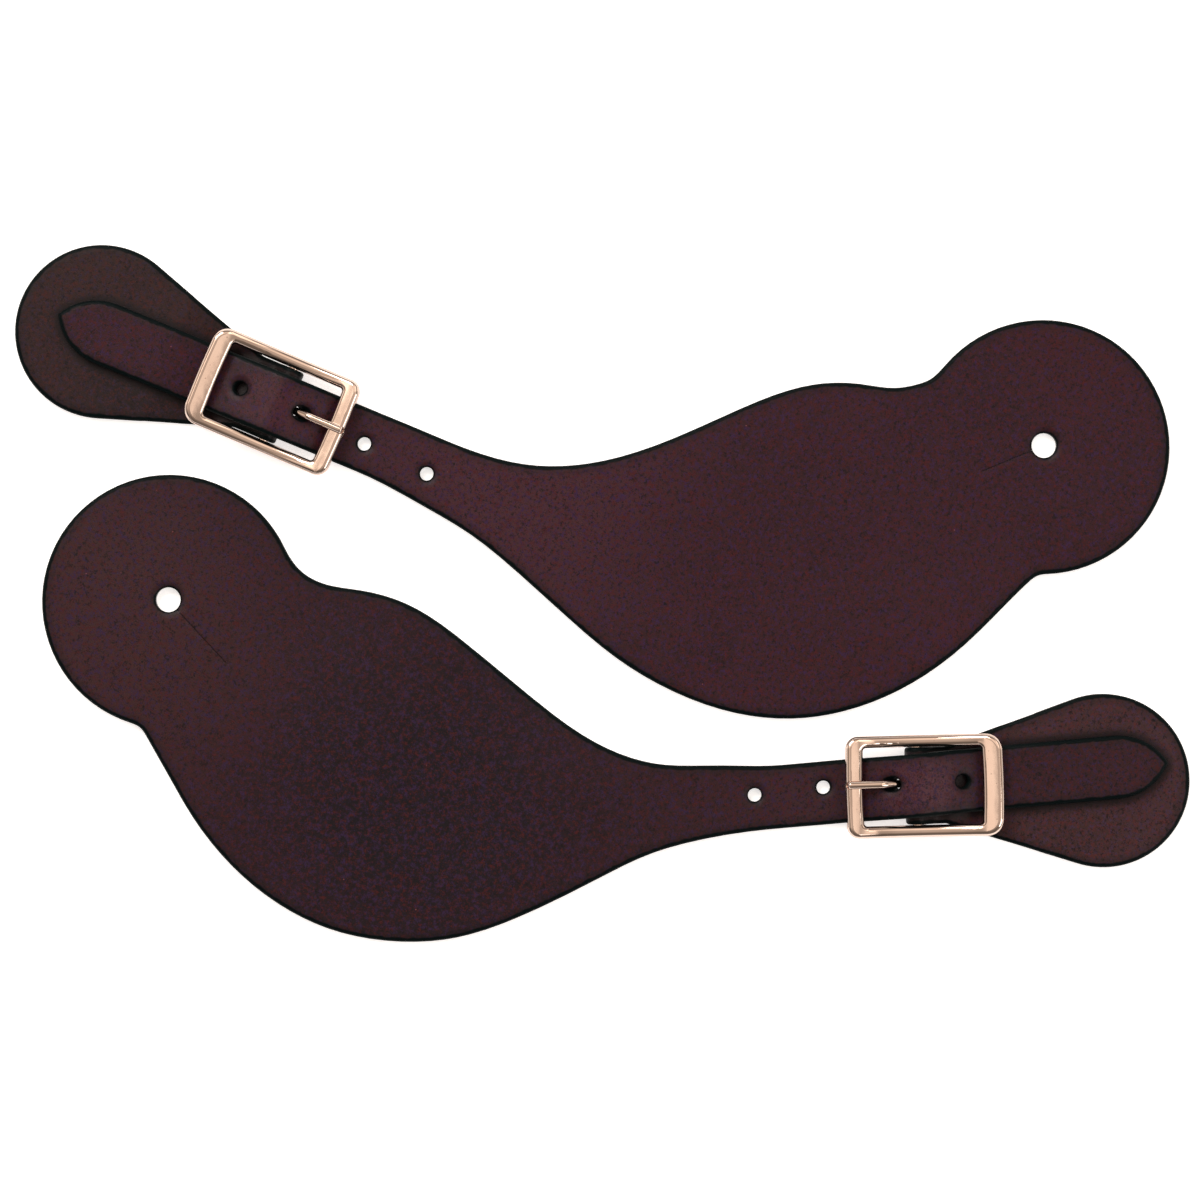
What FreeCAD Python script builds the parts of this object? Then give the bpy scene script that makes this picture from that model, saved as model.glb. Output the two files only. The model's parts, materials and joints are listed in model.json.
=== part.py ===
import FreeCAD, Part
import math
import os

import Sketcher
from FreeCAD import Placement, Rotation, Vector

# A pair of leather spur straps lying flat, right strap behind and left strap in front.
#
# Each strap is built in its own frame: the origin is on the table under the buckle's centre
# bar, +X runs from the bar towards the wide wing, +Y is the side away from the belly of a
# right wing, +Z is up. A left strap is the mirror image, so its Y values change sign. Every
# body then gets the Placement of its strap.

DRIVING_SIZES = {
    # leather
    "leather_thickness": 2.8,
    "billet_width": 15.8,
    "billet_point_length": 13.0,
    "billet_hole_radius": 1.7,
    "tongue_hole_radius": 1.75,
    "button_hole_radius": 3.1,
    "slit_width": 0.3,
    "wing_end_radius": 31.8,
    "tab_end_radius": 21.7,
    "tab_slit_length": 11.0,
    "fold_thickness": 1.7,
    "fold_half_width": 9.6,
    "tongue_slot_half_width": 2.0,
    # buckle
    "bar_radius": 1.25,
    "bar_height": 3.0,
    "bar_length": 24.0,
    "running_clearance": 0.05,
    "frame_front": 18.2,
    "frame_rear": 21.5,
    "frame_width": 25.5,
    "window_front": 13.8,
    "window_rear": 16.2,
    "window_width": 19.5,
    "frame_thickness": 2.8,
    "frame_middle_height": 4.6,
    "frame_bow_radius": 75.0,
    "frame_rounding": 1.3,
    "frame_corner_front": 3.2,
    "frame_corner_rear": 4.4,
    "window_corner": 0.8,
    "lug_radius": 2.1,
    "tongue_radius": 1.0,
    "tongue_eye_radius": 2.4,
    "tongue_eye_width": 3.0,
    "tongue_reach": 17.6,
    "tongue_rise": 28.0,
    "notch_depth": 0.6,
    "notch_clearance": 0.08,
    # rivets of the fold
    "rivet_shank_radius": 1.1,
    "rivet_head_radius": 2.2,
    "burr_outer_radius": 2.1,
    "burr_thickness": 0.6,
    "rivet_head_height": 3.2,
    "rivet_head_top": 3.65,
    "burr_height": 0.35,
}

# Wing outline in the wing's own frame: origin at billet hole 1, +X to the button hole.
BUTTON_HOLE = (154.6, 0.0)
WING_TOP = [(60, 5.3), (80, 13.0), (98, 17.9), (110, 17.4), (118.5, 16.1), (125, 17.1)]
WING_BELLY = [(60, -57.7), (75, -63.5), (90, -65.4), (105, -63.3), (120, -57.3), (132, -49.3),
              (143, -39.5), (149, -34.1)]
ROUND_END_CENTRE = (154.2, -0.4)
ROUND_END_TOP_X = 131.0
ROUND_END_BELLY_X = 153.5

STRAPS = {
    "right": {
        "hand": 1,
        "position": (-80.94, 47.25),
        "heading": -22.98,
        "wing_bend": 25.6,
        "billet_offset": -0.2,
        "billet_skew": 0.6,
        "billet_tip": -59.3,
        "holes": [(40.8, -1.5), (23.5, -0.7), (-10.3, 0.0)],
        "neck_top": [(12, 5.1), (25, 1.2), (42, 0.9)],
        "neck_belly": [(-1, -8.2), (10, -15.5), (20, -24.2), (32, -36.0), (45, -48.0)],
        "slit": (16.8, 20.0),
        "tab_centre": (-47.9, -0.5),
        "tongue_offset": 0.1,
    },
    "left": {
        "hand": -1,
        "position": (78.66, -48.05),
        "heading": -178.62,
        "wing_bend": 19.8,
        "billet_offset": 0.2,
        "billet_skew": -3.75,
        "billet_tip": -62.8,
        "holes": [(40.6, -1.4), (23.4, 0.1), (-11.4, 0.9)],
        "neck_top": [(12, 3.8), (25, -0.2), (42, -0.1)],
        "neck_belly": [(-1, -9.4), (10, -15.3), (20, -22.1), (32, -33.7), (45, -46.4)],
        "slit": (21.4, 29.0),
        "tab_centre": (-46.6, 0.1),
        "tongue_offset": 0.7,
    },
}

# Where the straight edges of the billet end, and how stiffly the curves leave them.
BILLET_BELLY_END = 24.0
BILLET_TOP_END = 33.0
NECK_PULL = 9
BELLY_PULL = 4
TOP_PULL = 6

# Side view of the leather, along the strap's X.
BILLET_LIFT_START = -14.8
BILLET_CREST = (0.4, 6.42)
BILLET_LANDING = 17.0
SKIVE_START = -30.0
SKIVE_END = -21.5
FLAP_SHOULDER = -8.5
FLAP_TIP = -13.0
FLAP_TIP_THICKNESS = 0.5
FOLD_SLOPE = 35.0
FLAP_SLOPE = 14.9
TAB_TAPER = 18.6
LAYER_GAP = 0.1

# Side view of the frame and the tongue.
FRAME_HALF_BLANK = 30.0
END_BAR_BULGE = 0.3
END_BAR_RADIUS = 200.0
TONGUE_KNEE = 8.6
TONGUE_BEND_RADIUS = 3.5
TONGUE_ROOT = 1.9

RIVET_PLACE = (-6.8, 4.5)
RIVET_FOOT = 0.1
RIVET_RIM = 0.15

HALF_SHEET = 130.0
THROUGH_ALL = 20.0

doc = FreeCAD.newDocument("spur_straps")
sheet = doc.addObject("Spreadsheet::Sheet", "Sizes")


def fill_sheet():
    """Put every driving size in the sheet as a plain number with an alias."""
    for row, (name, value) in enumerate(DRIVING_SIZES.items(), start=1):
        sheet.set(f"A{row}", name)
        sheet.set(f"B{row}", str(value))
        sheet.setAlias(f"B{row}", name)
    doc.recompute()


def size(name):
    return float(sheet.get(name))


# ---------------------------------------------------------------- sketch helpers

def new_body(label, placement):
    body = doc.addObject("PartDesign::Body", label)
    body.Label = label
    body.Placement = placement
    return body


def new_sketch(body, plane, offset=Vector(0, 0, 0), rotation=Rotation()):
    """A sketch on one of the body's own origin planes, moved by offset in that plane's axes."""
    support = next(item for item in body.Origin.OriginFeatures if item.Role == plane)
    sketch = body.newObject("Sketcher::SketchObject", "Sketch")
    sketch.AttachmentSupport = [(support, "")]
    sketch.MapMode = "FlatFace"
    sketch.AttachmentOffset = Placement(offset, rotation)
    return sketch


def flat(point):
    return Vector(point[0], point[1], 0)


def line(start, end):
    return Part.LineSegment(flat(start), flat(end))


def rounded_outline(corners):
    """Closed outline through corners (x, y, radius): lines joined by tangent arcs."""
    trimmed = []
    count = len(corners)
    for index, (x, y, radius) in enumerate(corners):
        corner = Vector(x, y, 0)
        before = flat(corners[index - 1]) - corner
        after = flat(corners[(index + 1) % count]) - corner
        before.normalize()
        after.normalize()
        if radius == 0:
            trimmed.append((corner, None, corner))
            continue
        half_angle = before.getAngle(after) / 2
        trim = radius / math.tan(half_angle)
        middle = (before + after).normalize()
        centre = corner + middle * (radius / math.sin(half_angle))
        trimmed.append((corner + before * trim, centre - middle * radius, corner + after * trim))
    geometry = []
    for index, (start, middle, end) in enumerate(trimmed):
        if middle is not None:
            geometry.append(Part.Arc(start, middle, end))
        following = trimmed[(index + 1) % count][0]
        if end.distanceToPoint(following) > 1e-5:
            geometry.append(Part.LineSegment(end, following))
    return geometry


def ribbon_outline(stations):
    """Side view of a strip of leather, from stations (x, z, radius, thickness) along one face.

    The other face lies to the left of the path, and its bends have the same centres.
    """
    points = [Vector(x, z, 0) for x, z, _, _ in stations]
    near = []
    far = []
    for index, (x, z, radius, thickness) in enumerate(stations):
        into = points[index] - points[index - 1] if index > 0 else points[1] - points[0]
        out = points[index + 1] - points[index] if index + 1 < len(points) else into
        into = Vector(into).normalize()
        out = Vector(out).normalize()
        normal = Vector(-into.y - out.y, into.x + out.x, 0).normalize()
        reach = thickness / normal.dot(Vector(-out.y, out.x, 0))
        turns_left = into.cross(out).z > 0
        far_radius = radius - thickness if turns_left else radius + thickness
        moved = points[index] + normal * reach
        near.append((x, z, radius))
        far.append((moved.x, moved.y, far_radius if radius else 0))
    return rounded_outline(near + far[::-1])


def add_rectangle(sketch, x_low, x_high, y_low, y_high):
    corners = [(x_low, y_low, 0), (x_high, y_low, 0), (x_high, y_high, 0), (x_low, y_high, 0)]
    sketch.addGeometry(rounded_outline(corners), False)


def add_circle(sketch, x, y, radius_expression, name):
    """A circle whose radius is bound to the sheet and whose centre is dimensioned."""
    circle = sketch.addGeometry(Part.Circle(flat((x, y)), Vector(0, 0, 1), 1.0), False)
    if x == 0 and y == 0:
        sketch.addConstraint(Sketcher.Constraint("Coincident", circle, 3, -1, 1))
    else:
        sketch.addConstraint(Sketcher.Constraint("DistanceX", -1, 1, circle, 3, x))
        sketch.addConstraint(Sketcher.Constraint("DistanceY", -1, 1, circle, 3, y))
    radius = sketch.addConstraint(Sketcher.Constraint("Radius", circle, 1.0))
    sketch.renameConstraint(radius, name)
    sketch.setExpression(f"Constraints.{name}", radius_expression)


# ---------------------------------------------------------------- feature helpers

def pad_both_ways(body, sketch, length_expression):
    pad = body.newObject("PartDesign::Pad", "Pad")
    pad.Profile = sketch
    pad.SideType = "Symmetric"
    pad.setExpression("Length", length_expression)
    doc.recompute()
    return pad


def pocket(body, sketch, length, both_ways=False):
    """Cut along the sketch's normal, or both ways. A cut that removes nothing is an error."""
    before = body.Shape.Volume
    cut = body.newObject("PartDesign::Pocket", "Pocket")
    cut.Profile = sketch
    if both_ways:
        cut.SideType = "Symmetric"
    else:
        cut.Reversed = True
    if isinstance(length, str):
        cut.setExpression("Length", length)
    else:
        cut.Length = length
    doc.recompute()
    if body.Shape.Volume > before - 1e-3:
        raise RuntimeError(f"{body.Label}: a pocket removed nothing")
    return cut


def cut_to_plan(body, outline):
    """Cut a padded strip to its plan outline, as a die cuts a hide."""
    sketch = new_sketch(body, "XY_Plane", Vector(0, 0, -1))
    add_rectangle(sketch, -2 * HALF_SHEET, 2 * HALF_SHEET, -2 * HALF_SHEET, 2 * HALF_SHEET)
    sketch.addGeometry(outline, False)
    pocket(body, sketch, THROUGH_ALL)


def add_slit(body, centre, angle, length):
    """A knife slit from a button hole's centre, with a round stop at its end."""
    sketch = new_sketch(body, "XY_Plane", Vector(0, 0, -1))
    along = Vector(math.cos(math.radians(angle)), math.sin(math.radians(angle)), 0)
    across = Vector(-along.y, along.x, 0) * (size("slit_width") / 2)
    start = flat(centre)
    end = start + along * length
    sides = [(start - across, end - across), (end + across, start + across)]
    for first, last in sides:
        sketch.addGeometry(Part.LineSegment(first, last), False)
    tip = end + along * (size("slit_width") / 2)
    sketch.addGeometry(Part.Arc(end - across, tip, end + across), False)
    sketch.addGeometry(Part.LineSegment(start + across, start - across), False)
    pocket(body, sketch, THROUGH_ALL)


# ---------------------------------------------------------------- main strap

def main_strap_side():
    """Under face of the main strap: point on the tab, over the bar, down to the table."""
    thickness = size("leather_thickness")
    on_tab = thickness + 0.07
    on_skive = size("fold_thickness") + 0.15
    easy_bend = 25.0
    lift_bend = 12.0
    crest_bend = 6.0
    landing_bend = 14.0
    return ribbon_outline([
        (-HALF_SHEET, on_tab, 0, thickness),
        (SKIVE_START, on_tab, easy_bend, thickness),
        (SKIVE_END, on_skive, easy_bend, thickness),
        (BILLET_LIFT_START, on_skive, lift_bend, thickness),
        (*BILLET_CREST, crest_bend, thickness),
        (BILLET_LANDING, 0.0, landing_bend, thickness),
        (2 * HALF_SHEET, 0.0, 0, thickness),
    ])


def turned(strap, angle, x, y):
    """The direction (x, y) turned by angle degrees, mirrored for a left strap."""
    direction = Rotation(Vector(0, 0, 1), angle).multVec(Vector(x, y, 0))
    return Vector(direction.x, strap["hand"] * direction.y, 0)


def on_wing(strap, x, y):
    """A point of the wing's frame, in the strap's frame."""
    hole_x, hole_y = strap["holes"][0]
    return Vector(hole_x, strap["hand"] * hole_y, 0) + turned(strap, strap["wing_bend"], x, y)


def on_billet(strap, x, y):
    """A point along and across the billet, in the strap's frame."""
    offset = strap["hand"] * strap["billet_offset"]
    return Vector(0, offset, 0) + turned(strap, strap["billet_skew"], x, y)


def smooth_edge(points, first_direction, last_direction):
    curve = Part.BSplineCurve()
    curve.interpolate(Points=points, InitialTangent=first_direction, FinalTangent=last_direction)
    return curve


def billet_point(strap):
    """Shoulders and tip of the billet: two arcs that meet in a blunt point."""
    half = size("billet_width") / 2
    length = size("billet_point_length")
    shoulder = strap["billet_tip"] + length
    arc_radius = (half ** 2 + length ** 2) / (2 * half)
    middle_share = 0.55
    middle_x = length * middle_share
    middle_y = math.sqrt(arc_radius ** 2 - middle_x ** 2) - (arc_radius - half)
    tip = on_billet(strap, strap["billet_tip"], 0)
    arcs = []
    for across in (-1, 1):
        shoulder_point = on_billet(strap, shoulder, across * half)
        arcs.append((shoulder_point, on_billet(strap, shoulder - middle_x, across * middle_y), tip))
    return arcs


def round_end_points():
    """Start, far point and end of the wing's round end, in the wing's frame."""
    radius = size("wing_end_radius")
    x, y = ROUND_END_CENTRE
    top_y = y + math.sqrt(radius ** 2 - (x - ROUND_END_TOP_X) ** 2)
    belly_y = y - math.sqrt(radius ** 2 - (x - ROUND_END_BELLY_X) ** 2)
    return [(ROUND_END_BELLY_X, belly_y), (x + radius, y), (ROUND_END_TOP_X, top_y)]


def main_strap_plan(strap):
    """Plan outline: pointed billet, neck, belly and round end."""
    half = size("billet_width") / 2
    bend = strap["wing_bend"]
    belly_start = on_billet(strap, BILLET_BELLY_END, -half)
    top_start = on_billet(strap, BILLET_TOP_END, half)
    billet_direction = turned(strap, strap["billet_skew"], NECK_PULL, 0)

    belly_end, far_point, top_end = round_end_points()
    x, y = ROUND_END_CENTRE
    belly_direction = turned(strap, bend, y - belly_end[1], belly_end[0] - x)
    top_direction = turned(strap, bend, top_end[1] - y, x - top_end[0])
    round_end = [on_wing(strap, *point) for point in (belly_end, far_point, top_end)]

    belly_points = [on_wing(strap, *point) for point in strap["neck_belly"] + WING_BELLY]
    top_points = [on_wing(strap, *point) for point in strap["neck_top"] + WING_TOP]
    belly = smooth_edge([belly_start] + belly_points + [round_end[0]],
                        billet_direction, belly_direction.normalize() * BELLY_PULL)
    top = smooth_edge([top_start] + top_points + [round_end[2]],
                      billet_direction, top_direction.normalize() * TOP_PULL)
    belly_arc, top_arc = billet_point(strap)
    return [
        Part.Arc(*belly_arc),
        Part.LineSegment(belly_arc[0], belly_start),
        belly,
        Part.Arc(*round_end),
        top,
        Part.LineSegment(top_start, top_arc[0]),
        Part.Arc(*top_arc),
    ]


def slanted_tongue_hole(body, strap):
    """The third billet hole, pulled to a slant by the tongue that comes up through it."""
    rise = size("tongue_rise")
    swing_room = 0.4
    reach = 12.0
    sketch = new_sketch(body, "YZ_Plane", Vector(0, size("bar_height"), 0),
                        Rotation(Vector(1, 0, 0), -rise))
    add_circle(sketch, strap["hand"] * strap["tongue_offset"], swing_room,
               "Sizes.tongue_hole_radius", "hole_radius")
    pocket(body, sketch, reach)


def build_main_strap(side, strap, place):
    body = new_body(f"{side}_main_strap", place)
    profile = new_sketch(body, "XZ_Plane")
    profile.addGeometry(main_strap_side(), False)
    pad_both_ways(body, profile, f"{2 * HALF_SHEET}")
    cut_to_plan(body, main_strap_plan(strap))
    hand = strap["hand"]
    holes = new_sketch(body, "XY_Plane", Vector(0, 0, -1))
    for number, (x, y) in enumerate(strap["holes"]):
        add_circle(holes, x, hand * y, "Sizes.billet_hole_radius", f"billet_hole_{number}")
    button = on_wing(strap, *BUTTON_HOLE)
    add_circle(holes, button.x, button.y, "Sizes.button_hole_radius", "button_hole")
    pocket(body, holes, THROUGH_ALL)
    slanted_tongue_hole(body, strap)
    slit_length, slit_angle = strap["slit"]
    heading = 180 + strap["wing_bend"] + slit_angle
    add_slit(body, button, hand * heading, slit_length)
    return body


# ---------------------------------------------------------------- buckle tab

def tab_side():
    """Grain face of the tab: skived flap, turn round the bar, and back to the round end."""
    thin = size("fold_thickness")
    full = size("leather_thickness")
    turn = size("bar_radius") + size("running_clearance") + thin
    top = 2 * turn
    upper = 2 * thin + LAYER_GAP
    slope = math.radians(FOLD_SLOPE)
    crest = -turn * math.tan(slope / 2)
    foot = crest - (top - upper) / math.tan(slope)
    drop = FLAP_SHOULDER - (upper - thin) / math.tan(math.radians(FLAP_SLOPE))
    foot_bend = 3.0
    flap_bend = 4.0
    return ribbon_outline([
        (FLAP_TIP, 0.0, 0, FLAP_TIP_THICKNESS),
        (FLAP_SHOULDER, 0.0, 0, thin),
        (turn, 0.0, turn, thin),
        (turn, top, turn, thin),
        (crest, top, turn, thin),
        (foot, upper, foot_bend, thin),
        (FLAP_SHOULDER, upper, flap_bend, thin),
        (drop, thin, flap_bend, thin),
        (SKIVE_END, thin, 0, thin),
        (SKIVE_START, full, 0, full),
        (-HALF_SHEET, full, 0, full),
    ])


def tab_plan(strap):
    """Round end, straight taper to the width that passes between the buckle's rails."""
    radius = size("tab_end_radius")
    half = size("fold_half_width")
    centre_x, centre_y = strap["tab_centre"]
    taper = math.radians(TAB_TAPER)
    waist_x = centre_x + radius / math.sin(taper) - half / math.tan(taper)
    front = 8.0  # beyond the turn round the bar

    def place(x, y):
        return Vector(x, strap["hand"] * y, 0)

    tangents = []
    for across in (-1, 1):
        offset = Vector(math.sin(taper), across * math.cos(taper), 0) * radius
        tangents.append(place(centre_x + offset.x, centre_y + offset.y))
    far_point = place(centre_x - radius, centre_y)
    waists = [place(waist_x, -half), place(waist_x, half)]
    fronts = [place(front, -half), place(front, half)]
    return [
        line(fronts[0], fronts[1]),
        line(fronts[1], waists[1]),
        line(waists[1], tangents[1]),
        Part.Arc(tangents[1], far_point, tangents[0]),
        line(tangents[0], waists[0]),
        line(waists[0], fronts[0]),
    ]


def build_buckle_tab(side, strap, place):
    body = new_body(f"{side}_buckle_tab", place)
    profile = new_sketch(body, "XZ_Plane")
    profile.addGeometry(tab_side(), False)
    pad_both_ways(body, profile, f"{2 * HALF_SHEET}")
    cut_to_plan(body, tab_plan(strap))

    slot = new_sketch(body, "XY_Plane", Vector(0, 0, -1))
    middle = strap["hand"] * strap["tongue_offset"]
    half_slot = size("tongue_slot_half_width")
    slot_rear = -size("tongue_eye_radius") - 1.0
    slot_front = 10.0
    add_rectangle(slot, slot_rear, slot_front, middle - half_slot, middle + half_slot)
    pocket(body, slot, THROUGH_ALL)

    x, y = RIVET_PLACE
    shanks = new_sketch(body, "XY_Plane", Vector(0, 0, -1))
    burr_seats = new_sketch(body, "XY_Plane", Vector(0, 0, -1))
    head_seats = new_sketch(body, "XY_Plane", Vector(0, 0, size("rivet_head_height")))
    for number, sign in enumerate((-1, 1)):
        add_circle(shanks, x, sign * y, "Sizes.rivet_shank_radius + 0.02", f"shank_{number}")
        add_circle(burr_seats, x, sign * y, "Sizes.burr_outer_radius + 0.05", f"burr_{number}")
        add_circle(head_seats, x, sign * y, "Sizes.rivet_head_radius + 0.05", f"head_{number}")
    pocket(body, shanks, THROUGH_ALL)
    pocket(body, burr_seats, "1 + Sizes.burr_height + Sizes.burr_thickness")
    pocket(body, head_seats, "Sizes.rivet_head_height")

    hole = new_sketch(body, "XY_Plane", Vector(0, 0, -1))
    centre = (strap["tab_centre"][0], strap["hand"] * strap["tab_centre"][1])
    add_circle(hole, *centre, "Sizes.button_hole_radius", "button_hole")
    pocket(body, hole, THROUGH_ALL)
    add_slit(body, centre, 0, size("tab_slit_length"))
    return body


# ---------------------------------------------------------------- buckle

def bow_outline(half_length):
    """Side view of the frame: a strip bowed so that both ends stand above its middle."""
    bow = size("frame_bow_radius")
    half_thickness = size("frame_thickness") / 2
    centre = Vector(0, size("frame_middle_height") + bow, 0)
    angle = half_length / bow
    arcs = []
    for radius, direction in ((bow + half_thickness, 1), (bow - half_thickness, -1)):
        ends = []
        for swing in (-angle * direction, 0, angle * direction):
            ends.append(centre + Vector(radius * math.sin(swing), -radius * math.cos(swing), 0))
        arcs.append(ends)
    lower, upper = arcs
    return [
        Part.Arc(*lower),
        Part.LineSegment(lower[2], upper[0]),
        Part.Arc(*upper),
        Part.LineSegment(upper[2], lower[0]),
    ]


def loop_outline(front, rear, half_width, front_radius, rear_radius):
    """Plan of the frame: straight rails, and end bars that bulge outwards a little."""
    return rounded_outline([
        (front - END_BAR_BULGE, -half_width, front_radius),
        (front, 0, END_BAR_RADIUS),
        (front - END_BAR_BULGE, half_width, front_radius),
        (-rear + END_BAR_BULGE, half_width, rear_radius),
        (-rear, 0, END_BAR_RADIUS),
        (-rear + END_BAR_BULGE, -half_width, rear_radius),
    ])


def rim_edges(body):
    """Names of the edges that lie in the frame's upper or lower face."""
    bow = size("frame_bow_radius")
    bow_centre_height = size("frame_middle_height") + bow
    half_thickness = size("frame_thickness") / 2
    names = []
    for number, edge in enumerate(body.Shape.Edges, start=1):
        offsets = []
        for point in edge.discretize(5):
            offsets.append(abs(bow - math.hypot(point.x, point.z - bow_centre_height)))
        if min(offsets) > half_thickness - 0.05:
            names.append(f"Edge{number}")
    return names


def round_edges(body, edge_names, radius_expression):
    rounded_feature = body.Tip
    fillet = body.newObject("PartDesign::Fillet", "Fillet")
    fillet.Base = (rounded_feature, edge_names)
    fillet.setExpression("Radius", radius_expression)
    doc.recompute()


def build_buckle_frame(side, strap, place):
    body = new_body(f"{side}_buckle_frame", Placement())
    profile = new_sketch(body, "XZ_Plane")
    profile.addGeometry(bow_outline(FRAME_HALF_BLANK), False)
    pad_both_ways(body, profile, "Sizes.frame_width + 10")
    outer = loop_outline(size("frame_front"), size("frame_rear"), size("frame_width") / 2,
                         size("frame_corner_front"), size("frame_corner_rear"))
    cut_to_plan(body, outer)
    window = new_sketch(body, "XY_Plane", Vector(0, 0, -1))
    inner = loop_outline(size("window_front"), size("window_rear"), size("window_width") / 2,
                         size("window_corner"), size("window_corner"))
    window.addGeometry(inner, False)
    pocket(body, window, THROUGH_ALL)

    round_edges(body, rim_edges(body), "Sizes.frame_rounding")

    lugs = new_sketch(body, "XZ_Plane")
    add_circle(lugs, 0, size("bar_height"), "Sizes.lug_radius", "lug_radius")
    pad_both_ways(body, lugs, "Sizes.frame_width - 0.8")
    between = new_sketch(body, "XZ_Plane")
    past_lug = 3 * size("lug_radius")
    add_rectangle(between, -past_lug, past_lug, -past_lug, 2 * past_lug)
    pocket(body, between, "Sizes.window_width", both_ways=True)
    bar_hole = new_sketch(body, "XZ_Plane")
    add_circle(bar_hole, 0, size("bar_height"), "Sizes.bar_radius", "bar_radius")
    pocket(body, bar_hole, "Sizes.bar_length", both_ways=True)

    knee, rest = tongue_line()
    slope = math.degrees(math.atan2(rest.y - knee.y, rest.x - knee.x))
    notch = new_sketch(body, "YZ_Plane", Vector(0, knee.y, knee.x),
                       Rotation(Vector(1, 0, 0), -slope))
    add_circle(notch, strap["hand"] * strap["tongue_offset"], 0,
               "Sizes.tongue_radius + Sizes.notch_clearance", "notch_radius")
    pocket(body, notch, THROUGH_ALL)
    body.Placement = place
    return body


def build_buckle_bar(side, place):
    body = new_body(f"{side}_buckle_bar", place)
    section = new_sketch(body, "XZ_Plane")
    add_circle(section, 0, size("bar_height"), "Sizes.bar_radius", "bar_radius")
    pad_both_ways(body, section, "Sizes.bar_length")
    return body


def tongue_line():
    """Knee and resting point of the tongue's axis, as (x, z) in the strap frame."""
    rise = math.radians(size("tongue_rise"))
    bow = size("frame_bow_radius")
    knee = Vector(TONGUE_KNEE, size("bar_height") + TONGUE_KNEE * math.tan(rise), 0)
    rest_x = (size("frame_front") + size("window_front")) / 2
    bar_middle = size("frame_middle_height") + bow - math.sqrt(bow ** 2 - rest_x ** 2)
    notch_floor = bar_middle + size("frame_thickness") / 2 - size("notch_depth")
    rest_z = notch_floor + size("notch_clearance") + size("tongue_radius")
    return knee, Vector(rest_x, rest_z, 0)


def build_buckle_tongue(side, strap, place):
    """Eye that turns on the bar, and a bent wire that ends on the front bar."""
    body = new_body(f"{side}_buckle_tongue", Placement())
    middle = strap["hand"] * strap["tongue_offset"]
    height = size("bar_height")
    eye = new_sketch(body, "XZ_Plane", Vector(0, 0, -middle))
    add_circle(eye, 0, height, "Sizes.tongue_eye_radius", "eye_radius")
    pad_both_ways(body, eye, "Sizes.tongue_eye_width")

    knee, rest = tongue_line()
    rise = size("tongue_rise")
    bar = Vector(0, height, 0)
    up = (knee - bar).normalize()
    along = (rest - knee).normalize()
    half_turn = up.getAngle(along) / 2
    trim = TONGUE_BEND_RADIUS * math.tan(half_turn)
    bend_start = knee - up * trim
    bend_end = knee + along * trim
    inward = (along - up).normalize()
    bend_middle = knee + inward * TONGUE_BEND_RADIUS * (1 / math.cos(half_turn) - 1)
    end = rest + along * (size("tongue_reach") - rest.x)
    root = bar + up * TONGUE_ROOT
    path = new_sketch(body, "XZ_Plane", Vector(0, 0, -middle))
    path.addGeometry([Part.LineSegment(root, bend_start),
                      Part.Arc(bend_start, bend_middle, bend_end),
                      Part.LineSegment(bend_end, end)], False)
    section = new_sketch(body, "YZ_Plane", Vector(middle, root.y, root.x),
                         Rotation(Vector(1, 0, 0), -rise))
    add_circle(section, 0, 0, "Sizes.tongue_radius", "wire_radius")
    doc.recompute()
    wire = body.newObject("PartDesign::AdditivePipe", "Wire")
    wire.Profile = section
    wire.Spine = (path, ["Edge1", "Edge2", "Edge3"])
    doc.recompute()

    bore = new_sketch(body, "XZ_Plane")
    add_circle(bore, 0, height, "Sizes.bar_radius + Sizes.running_clearance", "bore_radius")
    pocket(body, bore, THROUGH_ALL, both_ways=True)

    tip_edges = []
    for number, edge in enumerate(body.Shape.Edges, start=1):
        if edge.CenterOfMass.x > size("tongue_reach") - 0.3:
            tip_edges.append(f"Edge{number}")
    round_edges(body, tip_edges, "Sizes.tongue_radius * 0.7")
    body.Placement = place
    return body


# ---------------------------------------------------------------- rivets of the fold

def turned_piece(label, place, outline):
    """A Body revolved about its own vertical axis."""
    body = new_body(label, place)
    section = new_sketch(body, "XZ_Plane")
    section.addGeometry(outline, False)
    revolution = body.newObject("PartDesign::Revolution", "Revolution")
    revolution.Profile = section
    revolution.ReferenceAxis = (section, ["V_Axis"])
    revolution.Angle = 360
    doc.recompute()
    return body


def rivet_outline():
    """Half section: peened foot under the burr, shank, low domed head with a flat crown."""
    shank = size("rivet_shank_radius")
    head = size("rivet_head_radius")
    seat = size("rivet_head_height")
    top = size("rivet_head_top")
    burr = size("burr_height")
    foot = shank * 1.45
    rim = seat + RIVET_RIM
    crown = head * 0.3
    dome_middle = Vector(head * 0.72, rim + (top - rim) * 0.7, 0)
    points = [(0, top), (0, RIVET_FOOT), (foot, RIVET_FOOT), (foot, burr), (shank, burr),
              (shank, seat), (head, seat), (head, rim)]
    outline = [line(first, last) for first, last in zip(points, points[1:])]
    outline.append(Part.Arc(flat((head, rim)), dome_middle, flat((crown, top))))
    outline.append(line((crown, top), (0, top)))
    return outline


def burr_outline():
    shank = size("rivet_shank_radius")
    outer = size("burr_outer_radius")
    bottom = size("burr_height")
    top = bottom + size("burr_thickness")
    corner = 0.15
    return rounded_outline([(shank, bottom, 0), (outer, bottom, corner), (outer, top, 0),
                            (shank, top, 0)])


def build_rivets(side, place):
    x, y = RIVET_PLACE
    bodies = []
    for position, sign in (("outer", 1), ("inner", -1)):
        spot = place.multiply(Placement(Vector(x, sign * y, 0), Rotation()))
        bodies.append(turned_piece(f"{side}_fold_rivet_{position}", spot, rivet_outline()))
        bodies.append(turned_piece(f"{side}_rivet_burr_{position}", spot, burr_outline()))
    return bodies


# ---------------------------------------------------------------- assembly and export

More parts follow.
